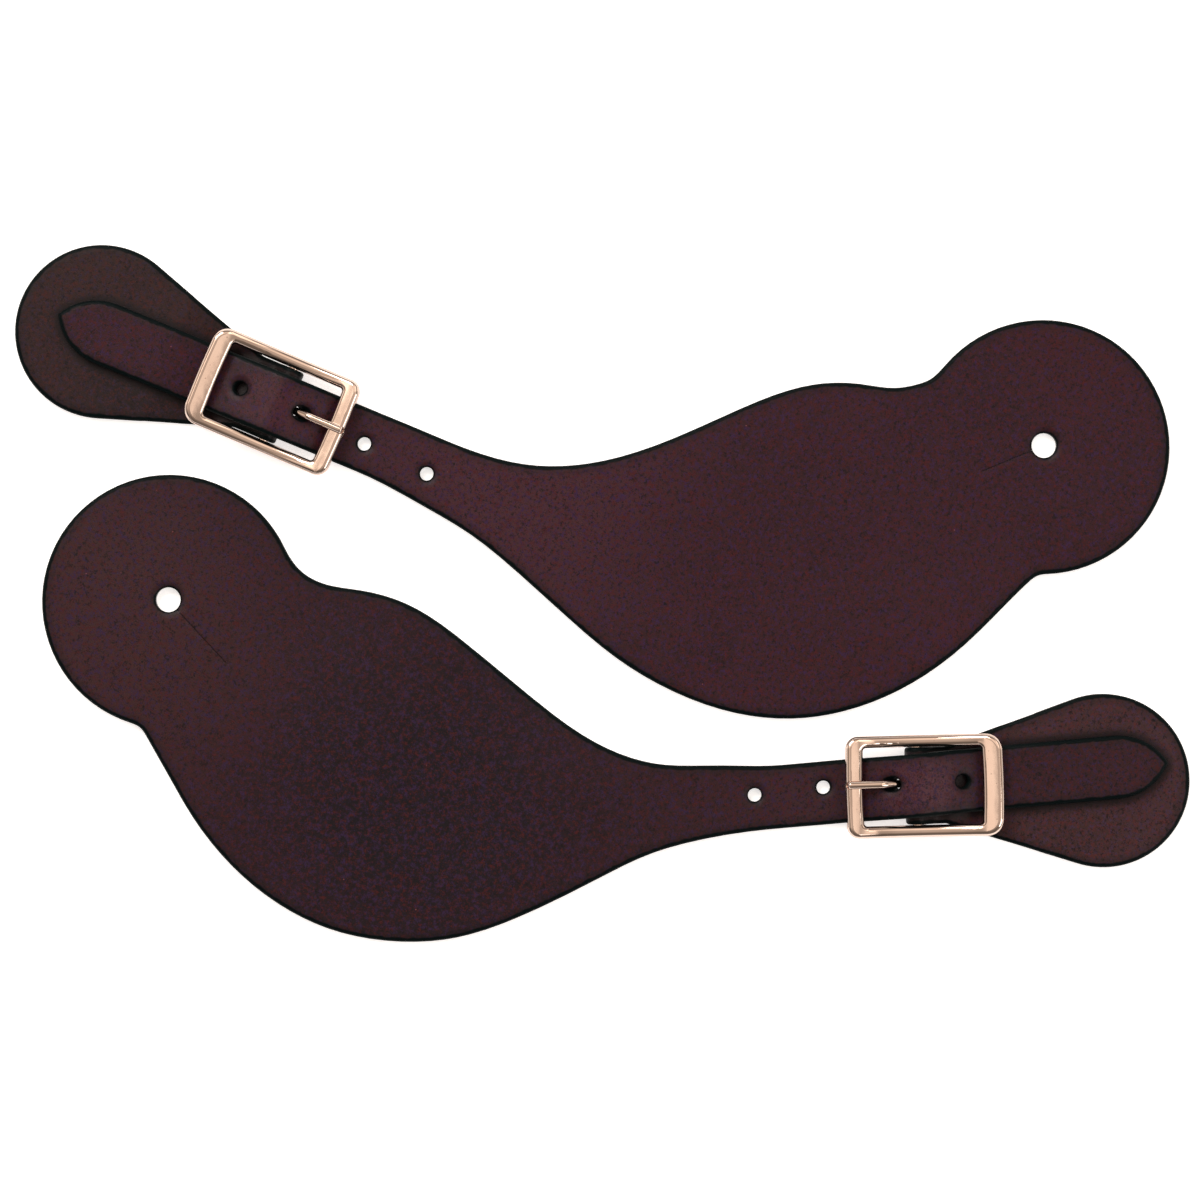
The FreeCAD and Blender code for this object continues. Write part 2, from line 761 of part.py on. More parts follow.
def build_strap(side, strap):
    x, y = strap["position"]
    place = Placement(Vector(x, y, 0), Rotation(Vector(0, 0, 1), strap["heading"]))
    bodies = [
        build_main_strap(side, strap, place),
        build_buckle_tab(side, strap, place),
        build_buckle_frame(side, strap, place),
        build_buckle_bar(side, place),
        build_buckle_tongue(side, strap, place),
    ]
    return bodies + build_rivets(side, place)


def check_document(bodies):
    """Stop if any object failed or any sub-part is missing, invalid or in several pieces."""
    doc.recompute()
    for item in doc.Objects:
        if {"Invalid", "Error"} & set(item.State):
            raise RuntimeError(f"{item.Label} failed: {item.State}")
    for body in bodies:
        shape = body.Shape
        if shape.isNull() or not shape.isValid() or len(shape.Solids) != 1:
            raise RuntimeError(f"{body.Label} has no single valid solid")


fill_sheet()
all_bodies = []
for side_name, strap_data in STRAPS.items():
    all_bodies += build_strap(side_name, strap_data)
check_document(all_bodies)

os.makedirs("parts", exist_ok=True)
for piece in all_bodies:
    piece.Shape.exportStep(f"parts/{piece.Label}.step")
    box = piece.Shape.BoundBox
    print(f"{piece.Label}: {piece.Shape.Volume:.1f} mm3, x {box.XMin:.2f} {box.XMax:.2f},"
          f" y {box.YMin:.2f} {box.YMax:.2f}, z {box.ZMin:.2f} {box.ZMax:.2f}")
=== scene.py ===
import json
import math

import bmesh
import bpy
import numpy as np
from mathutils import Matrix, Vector, noise
from mathutils.geometry import delaunay_2d_cdt
from mathutils.kdtree import KDTree


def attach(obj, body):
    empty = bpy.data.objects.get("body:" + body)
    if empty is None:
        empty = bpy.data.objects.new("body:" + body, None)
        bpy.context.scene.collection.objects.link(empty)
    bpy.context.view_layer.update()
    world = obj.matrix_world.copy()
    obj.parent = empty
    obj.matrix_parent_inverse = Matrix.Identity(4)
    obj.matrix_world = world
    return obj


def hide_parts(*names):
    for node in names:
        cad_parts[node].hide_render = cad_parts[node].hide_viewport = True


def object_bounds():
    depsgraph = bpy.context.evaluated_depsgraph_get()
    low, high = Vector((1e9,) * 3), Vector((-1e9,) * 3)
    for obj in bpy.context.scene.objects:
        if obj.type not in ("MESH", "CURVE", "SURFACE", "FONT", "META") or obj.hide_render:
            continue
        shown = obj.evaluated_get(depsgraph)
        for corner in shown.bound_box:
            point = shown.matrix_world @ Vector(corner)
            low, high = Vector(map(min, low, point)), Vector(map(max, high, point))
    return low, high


# A pair of leather spur straps lying on a pale floor, seen from straight above.
#
# The leather is cut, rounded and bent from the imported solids: their cut edges give each piece's
# pattern, and their side view gives the bend. Lengths inside the leather functions are in
# millimetres, in the strap's own frame: u from the buckle's bar towards the wing, w across, z up.

MM = 0.001
SIDES = ("right", "left")

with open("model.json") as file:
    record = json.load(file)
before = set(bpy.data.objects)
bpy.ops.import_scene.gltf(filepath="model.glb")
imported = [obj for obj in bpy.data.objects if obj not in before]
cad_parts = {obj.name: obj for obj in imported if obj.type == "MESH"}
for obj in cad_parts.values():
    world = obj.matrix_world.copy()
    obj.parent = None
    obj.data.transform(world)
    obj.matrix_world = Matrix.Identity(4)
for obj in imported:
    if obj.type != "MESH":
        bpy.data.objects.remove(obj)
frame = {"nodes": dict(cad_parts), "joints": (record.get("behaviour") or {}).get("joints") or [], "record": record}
cad_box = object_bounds()
record = frame["record"]
joints = {joint["name"]: joint for joint in frame["joints"]}
mounts = {mount["name"]: mount for mount in record["mounts"]}


# ---------------------------------------------------------------- strap frame

class StrapFrame:
    """The frame of one strap, from its buckle's hinge."""

    def __init__(self, side):
        hinge = joints[f"{side}_buckle_rock"]
        x, y, z = hinge["pos_m"]
        axis_x, axis_y, axis_z = hinge["axis"]
        self.origin = np.array([x, y, 0.0]) / MM
        self.along = np.array([-axis_y, axis_x, 0.0])
        self.across = np.array([-axis_x, -axis_y, 0.0])

    def to_local(self, points):
        moved = np.asarray(points, float) - self.origin
        return np.stack([moved @ self.along, moved @ self.across, moved[:, 2]], axis=1)

    def to_row(self, points):
        points = np.asarray(points, float)
        return (self.origin + points[:, :1] * self.along + points[:, 1:2] * self.across
                + points[:, 2:3] * np.array([0.0, 0.0, 1.0]))


# ---------------------------------------------------------------- pattern of a CAD leather solid

SHARP_ANGLE = math.radians(30)
WELD = 1e-7


def smooth_patches(bm):
    """Groups of faces that no sharp edge divides."""
    seen = set()
    patches = []
    for first in bm.faces:
        if first in seen:
            continue
        seen.add(first)
        waiting = [first]
        patch = {}
        while waiting:
            face = waiting.pop()
            patch[face] = True
            for edge in face.edges:
                if edge.calc_face_angle() > SHARP_ANGLE:
                    continue
                for other in edge.link_faces:
                    if other not in seen:
                        seen.add(other)
                        waiting.append(other)
        patches.append(patch)
    return patches


def patch_loops(patch):
    """Boundary loops of a patch, longest first, each an array of points in millimetres."""
    follows = {}
    for face in patch:
        for loop in face.loops:
            if loop.link_loop_radial_next.face not in patch:
                follows[loop.vert] = loop.link_loop_next.vert
    loops = []
    while follows:
        start = next(iter(follows))
        chain = [start]
        vert = follows.pop(start)
        while vert is not start:
            chain.append(vert)
            vert = follows.pop(vert)
        loops.append(np.array([list(v.co) for v in chain]) / MM)
    loops.sort(key=loop_length, reverse=True)
    return loops


def loop_length(points):
    return float(np.linalg.norm(np.roll(points, -1, axis=0) - points, axis=1).sum())


def grain_and_flesh(node, strap):
    """Boundary loops of the grain face and of the flesh face, in the strap's frame."""
    bm = bmesh.new()
    bm.from_mesh(frame["nodes"][node].data)
    bmesh.ops.remove_doubles(bm, verts=bm.verts, dist=WELD)
    by_area = sorted(smooth_patches(bm), key=patch_area, reverse=True)
    two = sorted(by_area[:2], key=patch_lift, reverse=True)
    grain, flesh = [[strap.to_local(loop) for loop in patch_loops(patch)] for patch in two]
    bm.free()
    return grain, flesh


def patch_area(patch):
    return abs(patch_lift(patch))


def patch_lift(patch):
    return sum(face.normal.z * face.calc_area() for face in patch)


# ---------------------------------------------------------------- bend of a strip of leather

class Bend:
    """Side view of a strip: the grain face's line, its normal and the thickness along it."""

    def __init__(self, grain_line, flesh_line):
        step = np.linalg.norm(np.diff(grain_line, axis=0), axis=1)
        distance = np.concatenate([[0.0], np.cumsum(step)])
        self.length = distance[-1]
        self.s = np.arange(0.0, self.length + 0.1, 0.2)
        line = [np.interp(self.s, distance, grain_line[:, k]) for k in (0, 1)]
        self.line = smoothed(np.stack(line, axis=1), 3)
        tangent = np.gradient(self.line, axis=0)
        tangent /= np.linalg.norm(tangent, axis=1)[:, None]
        self.normal = np.stack([-tangent[:, 1], tangent[:, 0]], axis=1)
        self.curvature = np.abs(np.gradient(np.unwrap(np.arctan2(tangent[:, 1], tangent[:, 0])),
                                            self.s))
        self.thickness = smoothed(distance_to_line(self.line, flesh_line)[:, None], 3)[:, 0]

    def s_of(self, points):
        """Place along the strip of points (u, z), each at its nearest point of the grain face."""
        starts = self.line[:-1]
        runs = self.line[1:] - starts
        squares = (runs ** 2).sum(axis=1)
        found = []
        for point in points:
            share = np.clip(((point - starts) * runs).sum(axis=1) / squares, 0, 1)
            gap = ((point - starts - runs * share[:, None]) ** 2).sum(axis=1)
            best = int(np.argmin(gap))
            found.append(self.s[best] + share[best] * (self.s[best + 1] - self.s[best]))
        return np.array(found)

    def at(self, s, depth):
        """Points (u, z) at a depth under the grain face."""
        place = [np.interp(s, self.s, self.line[:, k]) for k in (0, 1)]
        normal = [np.interp(s, self.s, self.normal[:, k]) for k in (0, 1)]
        size = np.hypot(*normal)
        return place[0] - depth * normal[0] / size, place[1] - depth * normal[1] / size


def smoothed(rows, passes):
    """Rows of an open line, averaged with their neighbours, ends kept."""
    rows = rows.copy()
    for _ in range(passes):
        rows[1:-1] = (rows[:-2] + 2 * rows[1:-1] + rows[2:]) / 4
    return rows


def distance_to_line(points, line):
    """Distance from each point to an open line of points."""
    starts = line[:-1]
    runs = line[1:] - starts
    squares = np.maximum((runs ** 2).sum(axis=1), 1e-12)
    found = []
    for point in points:
        share = np.clip(((point - starts) * runs).sum(axis=1) / squares, 0, 1)
        nearest = starts + runs * share[:, None]
        found.append(np.sqrt(((point - nearest) ** 2).sum(axis=1).min()))
    return np.array(found)


def half_loop(loop):
    """The stretch of a loop from its far end, along one long side, to the other end."""
    start = int(np.argmin(loop[:, 0]))
    turned = np.roll(loop, -start, axis=0)
    if turned[1:6, 1].mean() < turned[0, 1]:
        turned = np.roll(turned[::-1], 1, axis=0)
    middle = turned[0, 1]
    back = np.argmax(turned[1:, 1] < middle) + 1
    return turned[:back]


def folded_bend(grain, flesh):
    """Bend of the tab, which turns back under itself."""
    grain_half = half_loop(grain[0])
    flesh_half = half_loop(flesh[0])
    return Bend(grain_half[:, [0, 2]], flesh_half[:, [0, 2]])


def open_bend(grain, flesh):
    """Bend of the main strap, which never turns back."""
    lines = []
    for loops in (grain, flesh):
        points = np.concatenate(loops)[:, [0, 2]]
        points = points[np.argsort(points[:, 0])]
        keep = np.concatenate([[True], np.diff(points[:, 0]) > 0.02])
        lines.append(points[keep])
    return Bend(*lines)


# ---------------------------------------------------------------- cutting a leather piece

OUTER, HOLE, SLIT = 0, 1, 2
# class of cut: rounding at the grain face, rounding at the flesh face, depth and reach of the
# dimple that a punch leaves
CUTS = {
    OUTER: (0.95, 0.7, 0.0, 1.0),
    HOLE: (0.4, 0.25, 0.32, 1.7),
    SLIT: (0.1, 0.1, 0.0, 1.0),
}
ROUND_STEPS = (0.076, 0.293, 0.617, 1.0)
DIMPLE_STEPS = (0.3, 0.6, 0.9)
# how near a cut the inner net of points may come, in mm
CLEAR_OF = {OUTER: 1.45, HOLE: 2.1, SLIT: 0.5}
PIECE_GRID = 1.5
BEND_GRID = 0.5
BEND_CURVATURE = 0.01
ROW_STEP = 0.87
RIM_SPACING = 0.1
CORNER_TURN = math.radians(25)
# the flesh side of a slit leans aside by this much, so that no light comes straight through
SLIT_LEAN = 0.35
PUNCH_RADIUS = 1.8
NO_CUT = 99.0


def resampled(loop, spacing):
    """A closed loop with even spacing that keeps its corners."""
    before = loop - np.roll(loop, 1, axis=0)
    after = np.roll(loop, -1, axis=0) - loop
    turn = np.abs(np.arctan2(before[:, 0] * after[:, 1] - before[:, 1] * after[:, 0],
                             (before * after).sum(axis=1)))
    corners = list(np.nonzero(turn > CORNER_TURN)[0])
    if not corners:
        corners = [0]
    rows = []
    for index, first in enumerate(corners):
        last = corners[(index + 1) % len(corners)]
        count = (last - first) % len(loop) or len(loop)
        chain = loop[[(first + k) % len(loop) for k in range(count + 1)]]
        steps = np.linalg.norm(np.diff(chain, axis=0), axis=1)
        distance = np.concatenate([[0.0], np.cumsum(steps)])
        parts = max(1, int(round(distance[-1] / spacing)))
        places = np.linspace(0.0, distance[-1], parts + 1)[:-1]
        rows.append(np.stack([np.interp(places, distance, chain[:, k]) for k in (0, 1)], axis=1))
    return np.concatenate(rows)


def inward_normals(loop, is_outer):
    """Unit normals of a closed loop that point into the leather."""
    tangent = np.roll(loop, -1, axis=0) - np.roll(loop, 1, axis=0)
    tangent /= np.maximum(np.linalg.norm(tangent, axis=1), 1e-9)[:, None]
    left = np.stack([-tangent[:, 1], tangent[:, 0]], axis=1)
    x, y = loop[:, 0], loop[:, 1]
    area = (x * np.roll(y, -1) - np.roll(x, -1) * y).sum()
    return left if (area > 0) == is_outer else -left


def tree_of(points):
    tree = KDTree(len(points))
    for index, (x, y) in enumerate(points):
        tree.insert((x, y, 0.0), index)
    tree.balance()
    return tree


def distances(tree, points):
    return np.array([tree.find((x, y, 0.0))[2] for x, y in points])


def is_inside(points, loops):
    """Even-odd test of points against all loops together."""
    inside = np.zeros(len(points), bool)
    x, y = points[:, 0], points[:, 1]
    for loop in loops:
        for (x0, y0), (x1, y1) in zip(loop, np.roll(loop, -1, axis=0)):
            crosses = (y0 > y) != (y1 > y)
            if y0 != y1:
                inside ^= crosses & (x < (x1 - x0) * (y - y0) / (y1 - y0) + x0)
    return inside


class Pattern:
    """The flat pattern of a leather piece: its cuts, and a net of points between them."""

    def __init__(self, loops, kinds, bend, slit_across):
        self.slit_across = slit_across
        self.loops = loops
        self.kinds = kinds
        self.trees = {}
        for kind in CUTS:
            dense = [resampled(loop[kinds_of == kind], RIM_SPACING) if (kinds_of == kind).all()
                     else densified(loop, kinds_of, kind)
                     for loop, kinds_of in zip(loops, kinds) if (kinds_of == kind).any()]
            if dense:
                self.trees[kind] = tree_of(np.concatenate(dense))
        self.points, self.edges = self.net(bend)
        self.triangles = self.triangulate()

    def rim(self, kind, points):
        """Distance in millimetres from points to the nearest cut of a kind."""
        if kind not in self.trees:
            return np.full(len(points), NO_CUT)
        return distances(self.trees[kind], points)

    def nearest_cut(self, points):
        return np.min([self.rim(kind, points) for kind in CUTS], axis=0)

    def net(self, bend):
        points = []
        edges = []
        count = 0
        for loop in self.loops:
            points.append(loop)
            edges += [(count + k, count + (k + 1) % len(loop)) for k in range(len(loop))]
            count += len(loop)
        for index, (loop, kinds_of) in enumerate(zip(self.loops, self.kinds)):
            normals = inward_normals(loop, index == 0)
            radius = np.array([CUTS[kind][0] for kind in kinds_of])
            reach = np.array([CUTS[kind][3] if CUTS[kind][2] else 0.0 for kind in kinds_of])
            for share in ROUND_STEPS:
                points.append(self.kept(loop + normals * (radius * share)[:, None], radius * share))
            for share in DIMPLE_STEPS:
                chosen = reach > 0
                offset = (radius + reach * share)[chosen]
                if chosen.any():
                    ring = loop[chosen] + normals[chosen] * offset[:, None]
                    points.append(self.kept(ring, offset))
        points.append(self.lattice(bend))
        return np.concatenate(points), edges

    def kept(self, points, offset):
        """Ring points that are as far from every cut as they should be."""
        good = is_inside(points, self.loops) & (self.nearest_cut(points) > offset * 0.9 - 0.01)
        return points[good]

    def lattice(self, bend):
        low = self.loops[0].min(axis=0)
        high = self.loops[0].max(axis=0)
        rows = []
        s = low[0]
        odd = False
        while s < high[0]:
            bent = np.interp(s, bend.s, bend.curvature) > BEND_CURVATURE
            step = BEND_GRID if bent else PIECE_GRID
            across = np.arange(low[1] + (PIECE_GRID / 2 if odd else 0.0), high[1], PIECE_GRID)
            rows.append(np.stack([np.full(len(across), s), across], axis=1))
            s += step * ROW_STEP
            odd = not odd
        points = np.concatenate(rows)
        points = points[is_inside(points, self.loops)]
        clear = [self.rim(kind, points) > gap for kind, gap in CLEAR_OF.items()]
        return points[np.all(clear, axis=0)]

    def triangulate(self):
        coords = [Vector((float(x), float(y))) for x, y in self.points]
        out, _, faces, _, _, _ = delaunay_2d_cdt(coords, self.edges, [], 0, 1e-7)
        self.points = np.array([[p.x, p.y] for p in out])
        triangles = np.array([face for face in faces if len(face) == 3])
        middles = self.points[triangles].mean(axis=1)
        return triangles[is_inside(middles, self.loops)]


def densified(loop, kinds_of, kind):
    """Close points along the stretches of a loop that are one kind of cut."""
    rows = []
    for index in np.nonzero(kinds_of == kind)[0]:
        start = loop[index]
        end = loop[(index + 1) % len(loop)]
        parts = max(1, int(np.linalg.norm(end - start) / RIM_SPACING))
        shares = np.arange(parts)[:, None] / parts
        rows.append(start + (end - start) * shares)
    return np.concatenate(rows)


def quarter_round(distance, radius):
    """How far a rounded edge has dropped at a distance from the cut."""
    inside = np.clip(radius - distance, 0.0, radius)
    return radius - np.sqrt(np.maximum(radius ** 2 - inside ** 2, 0.0))


WARP_WAVE = 46.0
WARP_START = 26.0
WARP_FADE = 30.0
WARP_BIAS = 0.25


def warp(points, lift):
    """Slow lift in millimetres of leather that doesn't lie quite flat."""
    height, layer = lift
    lifts = []
    for u, w, _ in points:
        value = noise.noise(Vector((u / WARP_WAVE, w / WARP_WAVE, layer)))
        fade = min(1.0, max(0.0, (u - WARP_START) / WARP_FADE))
        lifts.append(height * fade * max(0.0, value + WARP_BIAS))
    return np.array(lifts)


def cut_leather(name, strap, pattern, bend, lift, pulled=None, billet=None):
    """The finished piece: grain face, rounded edges, walls and flesh face as one closed mesh.

    pulled: centre, reach and length of the flesh side's pull at the tongue hole. billet: outline
    of the strap that lies on the piece.
    """
    points = pattern.points
    s, across = points[:, 0], points[:, 1]
    thickness = np.interp(s, bend.s, bend.thickness)
    drop = np.zeros(len(points))
    rise = np.zeros(len(points))
    rims = {kind: pattern.rim(kind, points) for kind in CUTS}
    for kind, (top_radius, low_radius, dimple, reach) in CUTS.items():
        top = np.minimum(top_radius, thickness * 0.42)
        low = np.minimum(low_radius, thickness * 0.35)
        edge = quarter_round(rims[kind], top)
        share = np.clip(1 - rims[kind] / reach, 0, 1)
        drop = np.maximum(drop, edge + dimple * share ** 2 * (3 - 2 * share))
        rise = np.maximum(rise, quarter_round(rims[kind], low))

    grain_u, grain_z = bend.at(s, drop)
    shift = np.zeros(len(points))
    if pulled is not None:
        centre, reach, distance = pulled
        near = np.clip(1 - (np.hypot(s - centre[0], across - centre[1]) - PUNCH_RADIUS)
                       / reach, 0, 1)
        shift = distance * near
    lean = SLIT_LEAN * np.clip(1 - rims[SLIT] / 2, 0, 1) * np.clip(rims[HOLE] / 1.2, 0, 1)
    flesh_s = s + shift + lean * pattern.slit_across[0]
    flesh_u, flesh_z = bend.at(flesh_s, thickness - rise)
    grain = np.stack([grain_u, across, grain_z], axis=1)
    flesh = np.stack([flesh_u, across + lean * pattern.slit_across[1], flesh_z], axis=1)
    lifts = warp(grain, lift)
    grain[:, 2] += lifts
    flesh[:, 2] += lifts

    used = sorted({int(i) for i in pattern.triangles.ravel()})
    number = {old: new for new, old in enumerate(used)}
    total = len(used)
    triangles = [[number[int(i)] for i in triangle] for triangle in pattern.triangles]
    sides = {pair: True for a, b, c in triangles for pair in ((a, b), (b, c), (c, a))}
    boundary = [(a, b) for a, b in sides if (b, a) not in sides]

    verts = [grain[used], flesh[used]]
    ring = sorted({i for edge in boundary for i in edge})
    ring_number = {old: 2 * total + new for new, old in enumerate(ring)}
    old_of = np.array(used)[ring]
    verts.append((grain[old_of] + flesh[old_of]) / 2)

    faces = []
    slots = []
    flip = signed_area(points, pattern.triangles[0]) < 0
    for a, b, c in triangles:
        faces.append((a, c, b) if flip else (a, b, c))
        slots.append(0)
    for a, b, c in triangles:
        second, third = (b, c) if flip else (c, b)
        faces.append((total + a, total + second, total + third))
        slots.append(2)
    for a, b in boundary:
        middle_a, middle_b = ring_number[a], ring_number[b]
        upper = (b, a, middle_a, middle_b)
        lower = (middle_b, middle_a, total + a, total + b)
        for quad in (upper, lower):
            faces.append(quad[::-1] if flip else quad)
            slots.append(1)

    rows = strap.to_row(np.concatenate(verts)) * MM
    mesh = bpy.data.meshes.new(name)
    mesh.from_pydata([tuple(row) for row in rows], [], faces)
    mesh.polygons.foreach_set("material_index", slots)
    mesh.polygons.foreach_set("use_smooth", [True] * len(faces))
    for kind, label in ((OUTER, "edge_mm"), (HOLE, "hole_mm"), (SLIT, "slit_mm")):
        values = np.concatenate([rims[kind][used], rims[kind][used], np.zeros(len(ring))])
        attribute = mesh.attributes.new(label, "FLOAT", "POINT")
        attribute.data.foreach_set("value", values.astype(np.float32))
    # distance to the billet above, which the grain shader turns into painted shadow on the tab
    over = mesh.attributes.new("billet_mm", "FLOAT", "POINT")
    over.data.foreach_set("value", from_billet(np.concatenate(verts), billet).astype(np.float32))
    mesh.validate()
    piece = bpy.data.objects.new(name, mesh)
    bpy.context.scene.collection.objects.link(piece)
    return piece


def from_billet(points, outline):
    """Distance in millimetres from the outline of the billet above, negative under it."""
    if outline is None:
        return np.full(len(points), NO_CUT)
    plan = points[:, :2]
    gap = distances(tree_of(resampled(outline, 0.3)), plan)
    return np.where(is_inside(plan, [outline]), -gap, gap)


def signed_area(points, triangle):
    a, b, c = (points[int(i)] for i in triangle)
    return (b[0] - a[0]) * (c[1] - a[1]) - (b[1] - a[1]) * (c[0] - a[0])


# ---------------------------------------------------------------- node helpers for materials

class Shader:
    """A new node material with a Principled shader, and short ways to add nodes to it."""

    def __init__(self, name):
        self.material = bpy.data.materials.new(name)
        self.material.use_nodes = True
        self.nodes = self.material.node_tree.nodes
        self.links = self.material.node_tree.links
        self.principled = self.nodes["Principled BSDF"]

    def add(self, kind, inputs=None, **settings):
        node = self.nodes.new(kind)
        for key, value in settings.items():
            setattr(node, key, value)
        for key, value in (inputs or {}).items():
            self.set(node, key, value)
        return node

    def set(self, node, key, value):
        if isinstance(value, bpy.types.NodeSocket):
            self.links.new(value, node.inputs[key])
        else:
            node.inputs[key].default_value = value

    def place(self, scale=(1.0, 1.0, 1.0), turn=0.0):
        """The piece's own coordinates, in metres, scaled and turned about z."""
        where = self.add("ShaderNodeTexCoord").outputs["Object"]
        mapping = self.add("ShaderNodeMapping", {"Vector": where, "Scale": scale,
                                                 "Rotation": (0.0, 0.0, turn)})
        return mapping.outputs["Vector"]

    def noise(self, per_mm, detail=3.0, roughness=0.5, vector=None, distortion=0.0):
        node = self.add("ShaderNodeTexNoise", {"Vector": vector or self.place(),
                                               "Scale": per_mm / MM, "Detail": detail,
                                               "Roughness": roughness, "Distortion": distortion})
        return node.outputs["Fac"]

    def cells(self, per_mm):
        node = self.add("ShaderNodeTexVoronoi", {"Vector": self.place(), "Scale": per_mm / MM})
        return node.outputs["Distance"]

    def ramp(self, value, low, high, out_low=0.0, out_high=1.0, smooth=True):
        kind = "SMOOTHSTEP" if smooth else "LINEAR"
        node = self.add("ShaderNodeMapRange", {"Value": value, "From Min": low, "From Max": high,
                                               "To Min": out_low, "To Max": out_high},
                        interpolation_type=kind)
        return node.outputs["Result"]

    def maths(self, operation, first, second=0.5):
        node = self.add("ShaderNodeMath", operation=operation)
        self.set(node, 0, first)
        self.set(node, 1, second)
        return node.outputs[0]

    def mix(self, share, first, second):
        node = self.add("ShaderNodeMix", data_type="RGBA")
        self.set(node, 0, share)
        self.set(node, 6, first)
        self.set(node, 7, second)
        return node.outputs[2]

    def spot(self, body, centre, near, far, tint):
        """The body colour with a soft round spot: centre in metres, radii in millimetres."""
        gap = self.add("ShaderNodeVectorMath", {0: self.place(), 1: (*centre, 0.0)},
                       operation="DISTANCE").outputs["Value"]
        return self.mix(self.ramp(gap, near * MM, far * MM, 1.0, 0.0), body, colour(*tint))

    def attribute(self, name):
        return self.add("ShaderNodeAttribute", attribute_name=name).outputs["Fac"]

    def bump(self, height, distance_mm, strength, normal=None):
        inputs = {"Height": height, "Distance": distance_mm * MM, "Strength": strength}
        if normal is not None:
            inputs["Normal"] = normal
        return self.add("ShaderNodeBump", inputs).outputs["Normal"]

    def finish(self, **values):
        for key, value in values.items():
            self.set(self.principled, key.replace("_", " "), value)
        return self.material


def colour(red, green, blue):
    """A display colour of 0 to 255 a channel as the shader's linear colour."""
    channels = []
    for value in (red, green, blue):
        share = value / 255
        channels.append(share / 12.92 if share < 0.04045 else ((share + 0.055) / 1.055) ** 2.4)
    return (*channels, 1.0)


# ---------------------------------------------------------------- materials

# broad clouds in the dye: noise per mm, turn, where the cloud is full, its strength, tone
LEATHER_CLOUDS = (
    (0.05, 0.4, 0.72, 0.55, (28, 13, 17)),
    (0.04, 1.3, 0.7, 0.5, (60, 22, 32)),
)


def grain_leather(name, tone, spots, hole_shades=()):
    """Burgundy bridle leather: mottled dye, fine pores, near-black dyed edges.

    Spots change the tone under the mottling; on the main straps they are painted sheen and painted shade. Hole
    shades, painted shade where a billet hole shows the tab, lie over it.
    """
    shader = Shader(name)
    base, red, plum, worn = tone
    slow = shader.noise(0.018, 3.0, 0.55)
    body = shader.mix(shader.ramp(slow, 0.38, 0.66), colour(*base), colour(*worn))
    for per_mm, turn, full, share, tint in LEATHER_CLOUDS:
        cloud = shader.noise(per_mm, 5.0, 0.65, shader.place(turn=turn))
        body = shader.mix(shader.ramp(cloud, 0.5, full, 0.0, share), body, colour(*tint))
    # soft spots of another tone; on the main straps these are painted sheen and painted shade
    for spot in spots:
        body = shader.spot(body, *spot)
    flecks = ((0.85, 0.0, 0.49, red), (0.72, 0.7, 0.5, plum), (1.0, 1.9, 0.52, (12, 6, 10)))
    for per_mm, turn, threshold, tint in flecks:
        fleck = shader.noise(per_mm, 4.0, 0.9, shader.place(turn=turn))
        body = shader.mix(shader.ramp(fleck, threshold, threshold + 0.11, smooth=False), body,
                          colour(*tint))
    pores = shader.cells(2.1)
    body = shader.mix(shader.ramp(pores, 0.0, 0.3, 0.3, 0.0), body, colour(14, 6, 8))
    dust = shader.ramp(shader.cells(0.11), 0.012, 0.022, 0.8, 0.0)
    body = shader.mix(dust, body, colour(120, 66, 70))
    # painted shade where a billet hole shows the tab, so that the hole looks dark
    for hole_shade in hole_shades:
        body = shader.spot(body, *hole_shade)

    wobble = shader.ramp(shader.noise(0.5, 3.0), 0.3, 0.7, -0.18, 0.18, smooth=False)
    edge = shader.maths("ADD", shader.attribute("edge_mm"), wobble)
    hole = shader.maths("ADD", shader.attribute("hole_mm"), wobble)
    dye = shader.ramp(edge, 0.75, 1.3, 1.0, 0.0)
    dye = shader.maths("MAXIMUM", dye, shader.ramp(hole, 0.1, 0.75, 0.95, 0.0))
    # darker grain near cut edges and holes from soaked dye, darker along the slit, and painted shadow on the tab
    # beside and under the billet that lies on it
    soak_and_shadow = shader.ramp(edge, 0.9, 3.4, 0.42, 0.0)
    slit = shader.attribute("slit_mm")
    billet = shader.attribute("billet_mm")
    for gap, near, far, share in ((hole, 0.4, 2.0, 0.5), (slit, 0.0, 0.3, 0.6),
                                  (billet, 0.2, 2.6, 0.85)):
        soak_and_shadow = shader.maths("MAXIMUM", soak_and_shadow, shader.ramp(gap, near, far, share, 0.0))
    body = shader.mix(soak_and_shadow, body, colour(15, 11, 14))
    body = shader.mix(dye, body, colour(3, 12, 13))

    gloss = shader.ramp(shader.noise(0.3, 4.0, 0.6), 0.3, 0.75, 0.36, 0.5)
    shine = shader.ramp(dye, 0.0, 1.0, 0.17, 0.05)
    creases = shader.noise(0.4, 5.0, 0.62, distortion=0.4)
    rough = shader.bump(creases, 0.05, 0.55)
    grain = shader.bump(shader.ramp(pores, 0.0, 0.42), 0.035, 0.8, rough)
    fine = shader.bump(shader.noise(5.0, 3.0, 0.6), 0.016, 0.6, grain)
    return shader.finish(Base_Color=body, Roughness=gloss, Normal=fine, Specular_IOR_Level=shine)


def edge_leather(name):
    """Cut edge, dyed greenish black, rubbed smooth along its length."""
    shader = Shader(name)
    layers = shader.noise(1.6, 4.0, 0.6, shader.place((1.0, 1.0, 6.0)))
    body = shader.mix(layers, colour(4, 15, 16), colour(14, 23, 23))
    gloss = shader.ramp(layers, 0.3, 0.7, 0.38, 0.52)
    return shader.finish(Base_Color=body, Roughness=gloss, Normal=shader.bump(layers, 0.05, 0.5),
                         Specular_IOR_Level=0.1)


